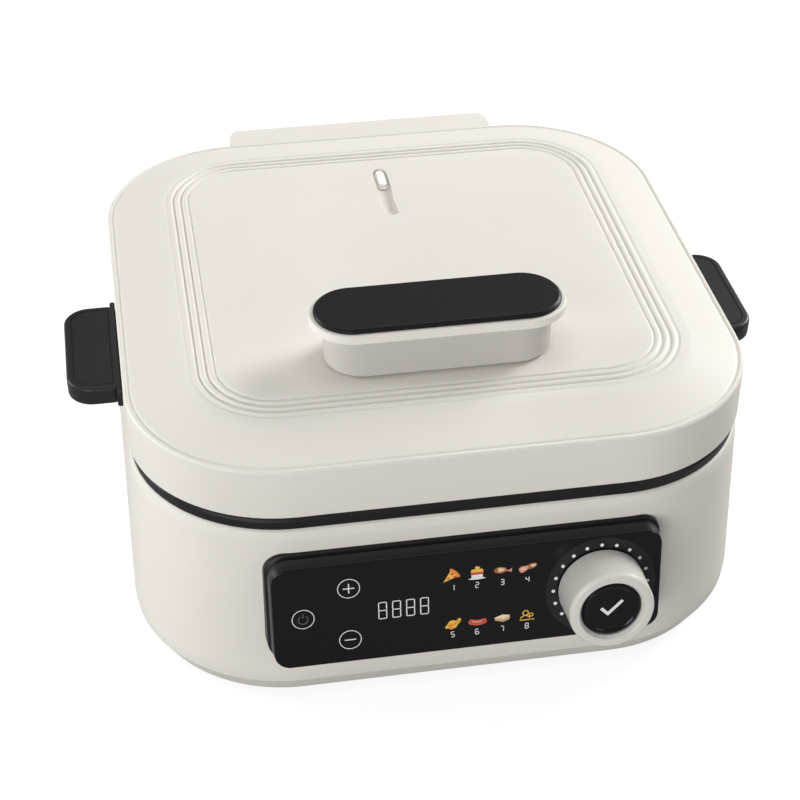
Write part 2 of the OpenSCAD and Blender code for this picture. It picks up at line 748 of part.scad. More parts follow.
module grip_screws() {
    color([0.70, 0.70, 0.72]) placed()
    for (sx = [-1, 1])
        translate([sx * grip_screw_x, -grip_y, lid_top - wall - 2]) union() {
            cylinder(r = 4, h = 2);
            cylinder(r = 1.5, h = 16);
        }
}

module vent_slider() {
    color([0.98, 0.97, 0.94]) placed()
    union() {
        translate([0, slider_y, slot_floor + 0.3]) linear_extrude(0.9) stadium(vent_w - 0.6, slider_l);
        translate([0, slider_y, slot_floor + 1]) linear_extrude(1.7) stadium(4.6, slider_l - 5);
    }
}

base_shell();
bottom_plate();
feet();
bottom_screws();
rim_ring();
heat_shield();
cooking_pan();
lower_heater();
lower_heater_clips();
temperature_probe();
probe_spring();
thermal_fuse();
left_handle();
right_handle();
side_handle_screws();
panel_housing();
panel_fascia();
display_module();
control_board();
board_screws();
touch_springs();
encoder();
power_board();
power_relay();
terminal_block();
mains_inlet();
inlet_pins();
hinge_bracket();
bracket_screws();
hinge_pins();
lid_shell();
lid_liner();
liner_screws();
upper_heater();
upper_heater_clips();
lid_gasket();
hinge_block();
grip_post();
grip_cap();
grip_screws();
vent_slider();
knob_ring();
press_button();
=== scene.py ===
import json
import math
import bpy
import bmesh
import numpy as np
from mathutils import Matrix, Vector


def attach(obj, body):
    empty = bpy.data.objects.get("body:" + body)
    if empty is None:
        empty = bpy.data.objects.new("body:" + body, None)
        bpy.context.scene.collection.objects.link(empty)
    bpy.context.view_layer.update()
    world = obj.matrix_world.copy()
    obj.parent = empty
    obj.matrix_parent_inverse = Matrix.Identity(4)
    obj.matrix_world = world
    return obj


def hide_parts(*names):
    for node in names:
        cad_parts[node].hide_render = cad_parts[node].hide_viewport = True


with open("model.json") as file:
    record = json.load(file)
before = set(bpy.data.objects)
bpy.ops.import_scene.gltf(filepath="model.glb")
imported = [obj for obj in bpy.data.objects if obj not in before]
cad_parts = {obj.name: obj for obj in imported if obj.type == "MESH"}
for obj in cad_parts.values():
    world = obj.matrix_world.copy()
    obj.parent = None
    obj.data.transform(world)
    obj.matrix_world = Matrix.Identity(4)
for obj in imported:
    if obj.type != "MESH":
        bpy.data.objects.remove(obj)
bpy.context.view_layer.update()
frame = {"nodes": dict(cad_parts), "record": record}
hinge = next(j for j in frame["record"]["behaviour"]["joints"] if j["name"] == "lid_hinge")

# sizes in millimetres, from the middle of the body's plan and up from the floor
MM = 0.001
HINGE_BEHIND = 187.0                                # hinge axis behind the body's middle
BODY_Y = 1000.0 * hinge["pos_m"][1] - HINGE_BEHIND  # the body's middle lies this far behind the frame's origin
# round corners of the plan: their centres and their radius
CORNER_X, CORNER_Y, CORNER_R = 87.0, 89.0, 83.0
# base, the opening for the mains inlet in its rear wall, the block behind the lid, and the ring in the seam
BASE_FOOT, BASE_TOP = 6.0, 123.0
INLET_LOW, INLET_HIGH = (-14, 160, 35.2), (14, 190, 55.8)
PAD_LOW, PAD_HIGH, PAD_R = (-98, 168, 88), (98, 177, 119), 1.5
RING_INNER, RING_TOP = 72.0, 129.4
# lid and its grooves: the first one's inset from the wall, then the way in and the rise from each to the next
LID_FOOT, LID_EDGE, LID_TOP, LID_WALL = 130.2, 160.0, 170.0, 2.8
GROOVE_INSET, GROOVE_STEP, GROOVE_RISE = 36.1, 4.5, 0.28
GROOVES = [(0.35, 1.3), (0.85, 1.35), (0.85, 1.35), (0.6, 1.0)]     # depth and half width, outer one first
# steam slot in the lid's top, and the steam holes in its floor
SLOT_Y, SLOT_W, SLOT_L, SLOT_FLOOR = 81.0, 9.0, 56.0, 166.8
HOLE_R, HOLE_STEP, HOLE_FROM_END, HOLES = 1.6, 4.5, 5.0, 4
# vent slider: half its length, its gap at the slot's end, the tab's place behind its middle, and heights
SLIDER_HALF, SLIDER_GAP, TAB_BEHIND = 11.0, 0.3, 1.2
SEAT_FOOT, SEAT_TOP, TAB_TOP = 167.1, 167.9, 169.5
# lid handle: its place in front of the middle, straight half lengths and half depth, and heights
GRIP_Y, POST_HALF, CAP_HALF, GRIP_FLAT = 89.5, 40.75, 46.25, 0.5
POST_TOP, RIM_FOOT, RIM_TOP, CAP_FOOT, CAP_TOP = 193.0, 192.5, 198.1, 197.9, 200.9
# side handles: reach from the middle, half length of the slab and of its root strip, and heights
HANDLE_ROOT, HANDLE_END, TONGUE_END = 170.6, 201.0, 168.4
HANDLE_HALF, ROOT_HALF = 42.0, 46.0
HANDLE_BOTTOM, HANDLE_TOP = 118.7, 130.2
# control panel: its lean, its middle in front of the body's middle and over the floor, half sizes, corner
# radius, and how far above that middle its box and glass lie
PANEL_LEAN, PANEL_FRONT, PANEL_MID = math.radians(7.8), 189.8, 75.0
PANEL_HALF_W, PANEL_HALF_H, PANEL_R, FACE_UP = 104.5, 31.0, 9.0, 1.3
# knob and button: their place on the panel, and distances out of its face
KNOB_X, KNOB_Y, KNOB_FOOT, KNOB_WEB, KNOB_TOP = 71.5, 0.8, 0.8, 12.5, 24.5
BUTTON_FOOT, BUTTON_FACE, BUTTON_TOP = 17.5, 21.93, 22.4


# geometry

SIDE_SHARE = 0.49       # most of a side that one corner's arc may take
STRAIGHT = 1e-3         # radians from straight within which a corner stays as it is
MERGE = 1e-6            # metres within which points are one
SHARP, LID_SHARP, BASE_SHARP = 38.0, 32.0, 30.0     # degrees past which an edge stays sharp


def heading(angles):
    """Unit vectors along the given angles: cosine across, sine up."""
    return np.stack([np.cos(angles), np.sin(angles)], 1)


def rounded(rows, steps, closed=False):
    """A line through rows (across, up, rounding), each corner replaced by an arc of its rounding that touches
    both of its sides."""
    rows = np.asarray(rows, float)
    pts, radii = rows[:, :2], rows[:, 2]
    n = len(pts)
    out = []
    for i in range(n):
        if not closed and i in (0, n - 1) or radii[i] <= 0:
            out.append(pts[i][None])
            continue
        p, a, b = pts[i], pts[i - 1] - pts[i], pts[(i + 1) % n] - pts[i]
        la, lb = np.linalg.norm(a), np.linalg.norm(b)
        a, b = a / la, b / lb
        half = math.acos(np.clip(a @ b, -1, 1)) / 2
        if half > math.pi / 2 - STRAIGHT:
            out.append(p[None])
            continue
        t = min(radii[i] / math.tan(half), SIDE_SHARE * la, SIDE_SHARE * lb)
        r = t * math.tan(half)
        centre = p + (a + b) / np.linalg.norm(a + b) * math.hypot(t, r)
        s, e = p + a * t - centre, p + b * t - centre
        turn = math.atan2(s[0] * e[1] - s[1] * e[0], s @ e)
        out.append(centre + r * heading(math.atan2(s[1], s[0]) + turn * np.linspace(0, 1, steps + 1)))
    return np.concatenate(out)


def sweep(path, normals, profile):
    """Grid of points: at each step of a flat path, the profile's points (reach, height), moved along the step's
    normal by their reach."""
    prof = np.asarray(profile, float)
    xy = path[:, None] + normals[:, None] * prof[None, :, 0, None]
    z = np.broadcast_to(prof[None, :, 1, None], xy.shape[:2] + (1,))
    return np.concatenate([xy, z], 2)


def carry(profile, hx, hy, arc=20, side=8):
    """The profile (radius, height) swept round a rounded rectangle: a quarter turn about each corner centre,
    then even steps along the side to the next one."""
    path, normals = [], []
    corners = np.array([(hx, hy), (-hx, hy), (-hx, -hy), (hx, -hy)], float)
    for k, (p, q) in enumerate(zip(corners, np.roll(corners, -1, 0))):
        path.append(np.broadcast_to(p, (arc + 1, 2)))
        normals.append(heading(np.radians(90 * k + np.linspace(0, 90, arc + 1))))
        s = np.linspace(0, 1, side + 1)[1:-1, None]
        path.append(p * (1 - s) + q * s)
        normals.append(np.broadcast_to(normals[-1][-1], (side - 1, 2)))
    return sweep(np.concatenate(path), np.concatenate(normals), profile)


def carry_inside(path, profile):
    """The profile (inset, height) swept round a closed flat path, whose normal is its direction turned left."""
    t = np.roll(path, -1, 0) - np.roll(path, 1, 0)
    t /= np.linalg.norm(t, axis=1, keepdims=True)
    return sweep(path, np.stack([-t[:, 1], t[:, 0]], 1), profile)


def revolve(profile, steps=128):
    """The profile (radius, height) turned about the upright axis."""
    around = heading(np.linspace(0, 2 * math.pi, steps, endpoint=False))
    return sweep(np.zeros_like(around), around, profile)


def circle(r, cx=0.0, cy=0.0, n=24):
    """Closed loop of a circle about a middle."""
    return r * heading(np.linspace(0, 2 * math.pi, n, endpoint=False)) + (cx, cy)


def lift(loop, z):
    """A flat loop at the given height."""
    return np.concatenate([loop, np.full((len(loop), 1), z)], 1)


def grid_part(grid, caps=()):
    """Points and faces of a grid that closes along its first direction: four-sided faces between neighbours,
    and one flat face over each column that caps names."""
    nu, nv = grid.shape[:2]
    u, v = np.arange(nu)[:, None], np.arange(nv - 1)[None]
    un = (u + 1) % nu
    quads = np.stack(np.broadcast_arrays(u * nv + v, un * nv + v, un * nv + v + 1, u * nv + v + 1), -1)
    return grid.reshape(-1, 3), [quads.reshape(-1, 4)] + [u.T * nv + c % nv for c in caps]


def walls(loop, z0, z1):
    """Upright wall along a loop, from one height to another."""
    return grid_part(np.stack([lift(loop, z0), lift(loop, z1)], 1))


def join(parts):
    """Points and faces of several surfaces as one: the faces of each count on from the points before it."""
    points, faces, count = [], [], 0
    for verts, blocks in parts:
        points.append(verts)
        faces += [block + count for block in blocks]
        count += len(verts)
    return np.concatenate(points), faces


def fill_between(loops):
    """Triangles of the flat region between an outer loop and the loops inside it: every point is joined to the
    one before it in its loop, and the net of lines is filled."""
    ends = np.cumsum([len(loop) for loop in loops])
    lines = [np.stack([np.roll(k, 1), k], 1) for k in np.split(np.arange(ends[-1]), ends[:-1])]
    mesh = bpy.data.meshes.new("fill")
    mesh.from_pydata(np.concatenate(loops).tolist(), np.concatenate(lines).tolist(), [])
    bm = bmesh.new()
    bm.from_mesh(mesh)
    bmesh.ops.triangle_fill(bm, use_beauty=True, edges=bm.edges[:], normal=(0, 0, 1))
    bm.to_mesh(mesh)
    bm.free()
    verts = np.empty(3 * len(mesh.vertices), np.float32)
    faces = np.empty(len(mesh.loops), np.int32)
    mesh.vertices.foreach_get("co", verts)
    mesh.loops.foreach_get("vertex_index", faces)
    bpy.data.meshes.remove(mesh)
    return verts.reshape(-1, 3).astype(float), [faces.reshape(-1, 3)]


def in_frame(points):
    """Points in millimetres about the body's middle, moved back to it and scaled to metres."""
    return (np.asarray(points, float) + (0, BODY_Y, 0)) * MM


def on_panel(points):
    """Points given on the leaning panel (across, up, out), turned back by its lean and placed at its middle."""
    c, s = math.cos(PANEL_LEAN), math.sin(PANEL_LEAN)
    across, up, out = np.moveaxis(points, -1, 0)
    return np.stack([across, -PANEL_FRONT + up * s - out * c, PANEL_MID + up * c + out * s], -1)


def on_knob(points):
    """Points about the knob's axis, placed on the panel."""
    return on_panel(points + (KNOB_X, KNOB_Y, 0))


def on_button(points):
    """Points about the middle of the button's face, placed on the panel."""
    return on_panel(points + (KNOB_X, KNOB_Y, BUTTON_FACE))


# pieces

def make(name, verts, faces, material, body, sharp=SHARP, replaces=(), slot=None):
    """A piece of the object: doubles merged, faces turned outwards, and smooth but for edges past sharp."""
    mesh = bpy.data.meshes.new(name)
    mesh.from_pydata(in_frame(verts).tolist(), [], [face for block in faces for face in block.tolist()])
    mesh.validate()
    bm = bmesh.new()
    bm.from_mesh(mesh)
    bmesh.ops.remove_doubles(bm, verts=bm.verts, dist=MERGE)
    bmesh.ops.recalc_face_normals(bm, faces=bm.faces)
    bm.to_mesh(mesh)
    bm.free()
    mesh.polygons.foreach_set("use_smooth", np.ones(len(mesh.polygons), bool))
    mesh.set_sharp_from_angle(angle=math.radians(sharp))
    obj = bpy.data.objects.new(name, mesh)
    bpy.context.scene.collection.objects.link(obj)
    mesh.materials.append(material)
    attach(obj, body)
    if replaces:
        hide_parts(*replaces)
    return obj


def skin(name, grid, material, body, caps=(), **more):
    """A piece from one grid that closes round, with caps over the named columns."""
    return make(name, *grid_part(grid, caps), material, body, **more)


def block(name, low, high, r, material, body, **more):
    """A piece shaped as a box: upright corners of radius r, top and bottom edges rounded by 0.7 of it,
    and flat ends that close from a fifth of it inwards."""
    (x0, y0, z0), (x1, y1, z1) = low, high
    profile = rounded([(r * 0.2, z0, 0), (r, z0, r * 0.7), (r, z1, r * 0.7), (r * 0.2, z1, 0)], 5)
    grid = carry(profile, (x1 - x0) / 2 - r, (y1 - y0) / 2 - r, arc=6, side=2)
    return skin(name, grid + ((x0 + x1) / 2, (y0 + y1) / 2, 0), material, body, caps=(0, -1), **more)


def cut(obj, low, high):
    """Takes a box-shaped opening out of a piece: a unit cube, scaled and moved to the box, is subtracted."""
    bm = bmesh.new()
    bmesh.ops.create_cube(bm, size=1.0)
    mesh = bpy.data.meshes.new("cutter")
    bm.to_mesh(mesh)
    bm.free()
    low, high = in_frame(low), in_frame(high)
    middle, size = ((low + high) / 2).tolist(), (high - low).tolist()
    mesh.transform(Matrix.Translation(middle) @ Matrix.Diagonal(size + [1]))
    cutter = bpy.data.objects.new("cutter", mesh)
    bpy.context.scene.collection.objects.link(cutter)
    mod = obj.modifiers.new("cut", "BOOLEAN")
    mod.operation = "DIFFERENCE"
    mod.solver = "FAST"
    mod.object = cutter
    uncut = obj.data
    opened = bpy.data.meshes.new_from_object(obj.evaluated_get(bpy.context.evaluated_depsgraph_get()))
    obj.modifiers.clear()
    obj.data = opened
    bpy.data.meshes.remove(uncut)
    bpy.data.objects.remove(cutter)
    bpy.data.meshes.remove(mesh)


# materials

SOFT_SCALE, SOFT_DETAIL, FINE_DETAIL = 14.0, 3.0, 4.0   # noise of the colour's drift and of the fine grain
DRIFT_LOW, DRIFT_HIGH = 0.3, 0.7                        # the soft noise's span that the colour drifts over
BUMP_DEPTH = 0.0002
CREAM = (0.80, 0.765, 0.70)


def plug(tree, node, sockets):
    """Sets a node's sockets: another node's output is linked in, and anything else is a constant."""
    for key, value in sockets.items():
        if isinstance(value, bpy.types.NodeSocket):
            tree.links.new(value, node.inputs[key])
        else:
            node.inputs[key].default_value = value
    return node


def add_node(tree, kind, sockets):
    """A new shader node with its sockets set."""
    return plug(tree, tree.nodes.new(kind), sockets)


def work_out(tree, operation, a, b):
    """Output of one arithmetic step on two sockets or constants."""
    node = add_node(tree, "ShaderNodeMath", {0: a, 1: b})
    node.operation = operation
    return node.outputs["Value"]


def material(name, color, rough, bump=0.0, scale=400.0, vary=0.03, metallic=0.0, spec=0.5, rough_vary=0.06):
    """Procedural finish in object coordinates: a soft noise moves the colour up and down by the share vary, and
    a fine noise moves the roughness by rough_vary and gives the bump."""
    m = bpy.data.materials.new(name)
    m.use_nodes = True
    tree = m.node_tree
    place = tree.nodes.new("ShaderNodeTexCoord").outputs["Object"]
    soft = add_node(tree, "ShaderNodeTexNoise", {"Scale": SOFT_SCALE, "Detail": SOFT_DETAIL, "Vector": place})
    fine = add_node(tree, "ShaderNodeTexNoise", {"Scale": scale, "Detail": FINE_DETAIL, "Vector": place})
    drift = add_node(tree, "ShaderNodeValToRGB", {"Fac": soft.outputs["Fac"]})
    for stop, position, share in zip(drift.color_ramp.elements, (DRIFT_LOW, DRIFT_HIGH), (1 - vary, 1 + vary)):
        stop.position = position
        stop.color = tuple(np.clip(np.array(color, float) * share, 0, 1)) + (1,)
    grain = add_node(tree, "ShaderNodeMapRange", {"To Min": max(rough - rough_vary, 0.02),
                                                  "To Max": min(rough + rough_vary, 1.0),
                                                  "Value": fine.outputs["Fac"]})
    finish = plug(tree, tree.nodes["Principled BSDF"], {
        "Base Color": drift.outputs["Color"], "Roughness": grain.outputs["Result"],
        "Metallic": metallic, "Specular IOR Level": spec})
    if bump:
        relief = add_node(tree, "ShaderNodeBump", {"Strength": bump, "Distance": BUMP_DEPTH,
                                                   "Height": fine.outputs["Fac"]})
        plug(tree, finish, {"Normal": relief.outputs["Normal"]})
    return m


def ink(name, color, vary):
    """Matt printing ink whose colour drifts by the share vary."""
    return material(name, color, 0.5, vary=vary, scale=3000)


cream = material("cream_plastic", CREAM, 0.48, bump=0.10, scale=900, vary=0.012, spec=0.25)
cream_shade = material("cream_shade", CREAM, 0.45, bump=0.10, scale=900, vary=0.012, spec=0.3)
# painted light: the steam slot's floor gets a lighter copy of the cream, to show bright in spite of the shade
# of the slot's walls
slot_floor_painted_light = material("slot_floor_painted_light", (0.86, 0.825, 0.76), 0.5, bump=0.10, scale=900, vary=0.012, spec=0.2)
# painted shade: the handle's post gets a darker copy of the cream, standing in for the shade under the rim's
# overhang
post_painted_shade = material("post_painted_shade", (0.52, 0.50, 0.465), 0.48, bump=0.10, scale=900, vary=0.012, spec=0.2)
cream_knob = material("cream_knob", (0.72, 0.70, 0.65), 0.30, bump=0.05, scale=900, vary=0.015)
black = material("black_plastic", (0.010, 0.010, 0.0105), 0.40, bump=0.12, scale=1200, vary=0.08, spec=0.25)
black_handle = material("black_handle", (0.014, 0.014, 0.0145), 0.42, bump=0.2, scale=1500, vary=0.08, spec=0.3)
black_cap = material("black_cap", (0.009, 0.009, 0.0095), 0.38, bump=0.08, scale=1500, vary=0.06, spec=0.2)
gloss_black = material("gloss_black", (0.006, 0.006, 0.0065), 0.16, vary=0.05, rough_vary=0.02, spec=0.2)
white = material("white_plastic", (0.96, 0.955, 0.93), 0.30, bump=0.05, scale=900, vary=0.01)
rubber = material("rubber", (0.018, 0.018, 0.018), 0.75, bump=0.3, scale=1600, vary=0.1)
steel = material("brushed_steel", (0.62, 0.62, 0.63), 0.32, bump=0.1, scale=700, vary=0.04, metallic=1.0)
heater_steel = material("heater_steel", (0.16, 0.15, 0.145), 0.5, bump=0.3, scale=900, vary=0.15, metallic=0.9)
pan_coating = material("pan_coating", (0.022, 0.022, 0.024), 0.45, bump=0.35, scale=2400, vary=0.25)
board_green = material("board", (0.03, 0.16, 0.06), 0.45, bump=0.2, scale=700, vary=0.2)
brass = material("brass", (0.62, 0.46, 0.20), 0.35, vary=0.08, metallic=1.0)
print_white = material("print_white", (0.86, 0.86, 0.85), 0.5, vary=0.01)
print_grey = material("print_grey", (0.016, 0.016, 0.017), 0.35, vary=0.02, spec=0.25)
print_dim = material("print_dim", (0.10, 0.10, 0.105), 0.5, vary=0.02)
print_yellow = ink("print_yellow", (0.86, 0.50, 0.07), 0.12)
print_orange = ink("print_orange", (0.80, 0.25, 0.03), 0.15)
print_red = ink("print_red", (0.55, 0.07, 0.05), 0.15)
print_tan = ink("print_tan", (0.78, 0.55, 0.32), 0.12)
print_cream = ink("print_cream", (0.88, 0.76, 0.52), 0.1)
print_pink = ink("print_pink", (0.75, 0.30, 0.24), 0.12)
print_brown = ink("print_brown", (0.30, 0.11, 0.04), 0.15)

# every CAD node gets the finish of its material slot
BY_SLOT = {"cream_plastic": cream, "black_plastic": black, "gloss_black": gloss_black, "white_plastic": white,
           "rubber": rubber, "steel": steel, "pan_coating": pan_coating, "heater_steel": heater_steel,
           "board": board_green, "brass": brass}
slot_of = {s["node"]: s["material_slot"] for s in frame["record"]["subparts"]}
for node_name, obj in frame["nodes"].items():
    m = BY_SLOT[slot_of[node_name]]
    if not obj.data.materials:
        obj.data.materials.append(m)
    for i in range(len(obj.data.materials)):
        obj.data.materials[i] = m


# lid; rows of a profile are radius, height and rounding

def lid_profile():
    """Lid section, from the inside of its wall down round its foot, up over the edge bead, the slope and the
    shoulder, then in through the grooves, each a flat-bottomed dip with a low crest after it, to the top."""
    inner = CORNER_R - LID_WALL
    rows = [(inner, LID_FOOT + 6.8, 0), (inner, LID_FOOT, 0.5), (CORNER_R, LID_FOOT, 0.9),
            (CORNER_R, LID_EDGE - 1.0, 0.9)]
    rows += [(CORNER_R - inset, LID_EDGE + rise, rounding) for inset, rise, rounding in [
        (0.9, 0.3, 0.6), (2.1, 0.4, 0.6), (2.9, -0.1, 0.3), (3.6, -0.1, 0.3), (4.6, 0.6, 0.8),
        (29.5, 7.7, 14.0), (34.2, 8.4, 2.0)]]
    first = CORNER_R - GROOVE_INSET
    for i, (depth, half) in enumerate(GROOVES):
        r, z = first - GROOVE_STEP * i, LID_EDGE + 8.5 + GROOVE_RISE * i
        rows += [(r + half, z, 0.9), (r + 0.3 * half, z - depth, 0.5), (r - 0.3 * half, z - depth, 0.5),
                 (r - half, z + 0.1, 0.9)]
        if i < len(GROOVES) - 1:
            rows.append((r - GROOVE_STEP / 2, z + 0.45, 1.2))
    rows += [(first - 17.2, LID_TOP - 0.3, 4.0), (first - 22, LID_TOP, 6.0), (first - 22.6, LID_TOP, 0)]
    return rounded(rows, 5)


def slot_line(grow, z, arc=16):
    """Closed line round the steam slot, wider and longer by grow: two half circles joined by straight sides."""
    w, l = SLOT_W + grow, SLOT_L + grow
    end = w / 2 * heading(np.linspace(0, math.pi, arc + 1)) + (0, (l - w) / 2)
    return lift(np.concatenate([end, -end]) + (0, SLOT_Y), z)


lid_grid = carry(lid_profile(), CORNER_X, CORNER_Y, arc=28, side=10)
slot_grid = np.stack([slot_line(grow, z) for grow, z in [
    (5.0, LID_TOP), (1.0, LID_TOP), (0.3, LID_TOP - 0.12), (0.0, LID_TOP - 0.5),
    (0.0, SLOT_FLOOR + 0.8), (-0.5, SLOT_FLOOR + 0.23), (-1.6, SLOT_FLOOR)]], 1)
slot_rear = SLOT_Y + SLOT_L / 2
holes = [circle(HOLE_R, 0, slot_rear - HOLE_FROM_END - HOLE_STEP * i, 20) for i in range(HOLES)]
slot_floor = fill_between([slot_grid[:, -1]] + [lift(hole, SLOT_FLOOR) for hole in holes])
# the floor's lighter cream is painted light against the slot's shade
make("vent_floor", *join([slot_floor] + [walls(hole, SLOT_FLOOR, SLOT_FLOOR - 2) for hole in holes]),
     slot_floor_painted_light, "lid", slot="cream_plastic")
lid_top = fill_between([lid_grid[:, -1], slot_grid[:, 0]])
make("lid_body", *join([grid_part(lid_grid), lid_top, grid_part(slot_grid)]),
     cream, "lid", replaces=["lid_shell"], slot="cream_plastic", sharp=LID_SHARP)

# vent slider: a white tab on a cream seat
slider_y = slot_rear - SLIDER_GAP - SLIDER_HALF
tab_rows = [(0.02, TAB_TOP, 0), (2.5, TAB_TOP, 0.5), (2.5, SEAT_TOP - 0.1, 0)]
seat_rows = [(0.02, SEAT_TOP, 0), (3.5, SEAT_TOP, 0.3), (3.5, SEAT_FOOT, 0.2), (0.02, SEAT_FOOT, 0)]
tab = carry(rounded(tab_rows, 6), 0, 6.2)
seat = carry(rounded(seat_rows, 5), 0, 6.8)
skin("vent_tab", tab + (0, slider_y + TAB_BEHIND, 0), white, "vent", caps=(0,),
     replaces=["vent_slider"], slot="white_plastic")
skin("vent_seat", seat + (0, slider_y, 0), cream_shade, "vent", caps=(0,), slot="cream_plastic")

# lid handle: post, rim under the cap, cap
post_rows = [(19.1, LID_TOP - 0.3, 0), (19.1, LID_TOP + 0.9, 0.1), (21.25, LID_TOP + 1.1, 0.4),
             (21.25, POST_TOP, 0.2), (18, POST_TOP + 0.2, 0)]
rim_rows = [(16, RIM_FOOT, 0), (22.3, RIM_FOOT, 0.7), (23.25, RIM_FOOT + 0.9, 0.6),
            (23.25, RIM_TOP - 0.6, 0.5), (22.6, RIM_TOP, 0.5), (16, RIM_TOP, 0)]
cap_rows = [(0.3, CAP_FOOT, 0), (20.4, CAP_FOOT, 0.2), (20.75, CAP_FOOT + 0.4, 0.3),
            (20.75, CAP_TOP - 1.4, 0.9), (19.4, CAP_TOP - 0.1, 1.4), (0.3, CAP_TOP, 0)]
# the post's darker cream is painted shade under the rim
skin("grip_stand", carry(rounded(post_rows, 5), POST_HALF, GRIP_FLAT) + (0, -GRIP_Y, 0),
     post_painted_shade, "lid", replaces=["grip_post"], slot="cream_plastic")
skin("grip_rim", carry(rounded(rim_rows, 5), CAP_HALF, GRIP_FLAT) + (0, -GRIP_Y, 0),
     cream, "lid", slot="cream_plastic")
skin("grip_top", carry(rounded(cap_rows, 6), CAP_HALF, GRIP_FLAT) + (0, -GRIP_Y, 0),
     black_cap, "lid", caps=(0, -1), replaces=["grip_cap"], slot="black_plastic")

# base: inner foot, chamfered lower edge, flaring wall with a crease, soft shoulder, lip inside the seam ring
base_rows = [(76.7, BASE_FOOT + 8, 0), (76.7, BASE_FOOT, 0), (79.5, BASE_FOOT, 0.8),
             (86.5, BASE_FOOT + 12, 1.6), (87.2, BASE_FOOT + 18, 30), (83.2, BASE_TOP - 7.4, 8),
             (82.3, BASE_TOP - 2.7, 2.6), (80.2, BASE_TOP - 1.4, 0.8), (78.9, BASE_TOP - 1.4, 0.1),
             (78.9, BASE_TOP, 0.1), (76, BASE_TOP, 0.4), (76, BASE_TOP - 11, 0)]
base = skin("base_body", carry(rounded(base_rows, 8), CORNER_X, CORNER_Y, arc=28, side=12),
            cream, "base", replaces=["base_shell"], slot="cream_plastic", sharp=BASE_SHARP)
cut(base, INLET_LOW, INLET_HIGH)
block("hinge_pad", PAD_LOW, PAD_HIGH, PAD_R, cream, "base", slot="cream_plastic")

# black ring in the seam: it sits on the base's lip and stands out a little under the lid
ring_rows = [(RING_INNER, BASE_TOP + 0.1, 0), (79.1, BASE_TOP + 0.1, 0.1), (79.1, BASE_TOP - 1.3, 0.1),
             (80.9, BASE_TOP - 1.8, 0.3), (81.3, BASE_TOP - 0.8, 0.6), (81.3, BASE_TOP + 3.4, 0.8),
             (80.5, BASE_TOP + 4.5, 0.6), (80.5, RING_TOP, 0.5), (RING_INNER, RING_TOP, 0.5),
             (RING_INNER, BASE_TOP + 0.1, 0)]
skin("seam_ring", carry(rounded(ring_rows, 5), CORNER_X, CORNER_Y, arc=28, side=8),
     black, "base", replaces=["rim_ring"], slot="black_plastic")


# side handles

def slab_plan(x0, x1, half, outer_r, inner_r, steps):
    """Closed plan of a slab that reaches out from the body: a rectangle with its four corners rounded."""
    rows = [(x1, -half, outer_r), (x1, half, outer_r), (x0, half, inner_r), (x0, -half, inner_r)]
    return rounded(rows, steps, closed=True)


def side_handle(name, sign, node):
    """Flat slab with round edges and a fine line round its top, a root strip along the body, and a tongue into
    the seam ring; sign -1 mirrors it to the left. Rows of its profiles are inset and height."""
    bottom, top = HANDLE_BOTTOM, HANDLE_TOP
    edge = rounded([(3.5, bottom, 0), (0.2, bottom, 3.4), (0.0, top - 4, 1), (0.0, top, 2.6), (4.0, top, 0)], 7)
    line = [(4.15, top - 0.45), (4.55, top - 0.45), (4.75, top), (4.9, top)]
    slab = slab_plan(HANDLE_ROOT, HANDLE_END, HANDLE_HALF, 15, 5, 14)
    root = slab_plan(HANDLE_ROOT, HANDLE_ROOT + 3, ROOT_HALF, 1.2, 0.3, 5)
    tongue = slab_plan(TONGUE_END, HANDLE_ROOT + 1, HANDLE_HALF, 0.2, 0.2, 3)
    verts, faces = join([grid_part(carry_inside(plan, rows), caps=(0, -1)) for plan, rows in [
        (slab, [(4.9, bottom), *edge, *line]),
        (root, [(0.3, bottom + 0.8), (0, bottom + 1.5), (0, top - 1), (0.3, top - 0.4)]),
        (tongue, [(0.05, BASE_TOP + 1), (0, BASE_TOP + 1.2), (0, BASE_TOP + 3.8), (0.05, BASE_TOP + 4)])]])
    make(name, verts * (sign, 1, 1), faces, black_handle, "base", replaces=[node], slot="black_plastic")


side_handle("handle_right", 1, "right_handle")
side_handle("handle_left", -1, "left_handle")


# control panel and knob; rows are reach or radius, distance out of the panel's face, and rounding

def panel_grid(rows):
    """The profile carried round the panel's outline, on the leaning panel."""
    grid = carry(rounded(rows, 5), PANEL_HALF_W - PANEL_R, PANEL_HALF_H - PANEL_R, arc=16, side=6)
    return on_panel(grid + (0, FACE_UP, 0))


box_rows = [(6.9, -1.65, 0), (9.1, -1.65, 0.2), (9.9, -8.5, 0.9), (8.8, -9.2, 0.3), (8.8, -11.2, 0.3),
            (11.2, -11.8, 0.9), (12.6, -30, 0)]
glass_rows = [(0.5, -1.6, 0), (PANEL_R, -1.6, 0.1), (PANEL_R, 0.0, 0.7), (0.5, 0.0, 0)]
skin("panel_box", panel_grid(box_rows), black, "base", replaces=["panel_housing"], slot="black_plastic")
skin("panel_glass", panel_grid(glass_rows), gloss_black, "base", caps=(-1,),
     replaces=["panel_fascia"], slot="gloss_black")

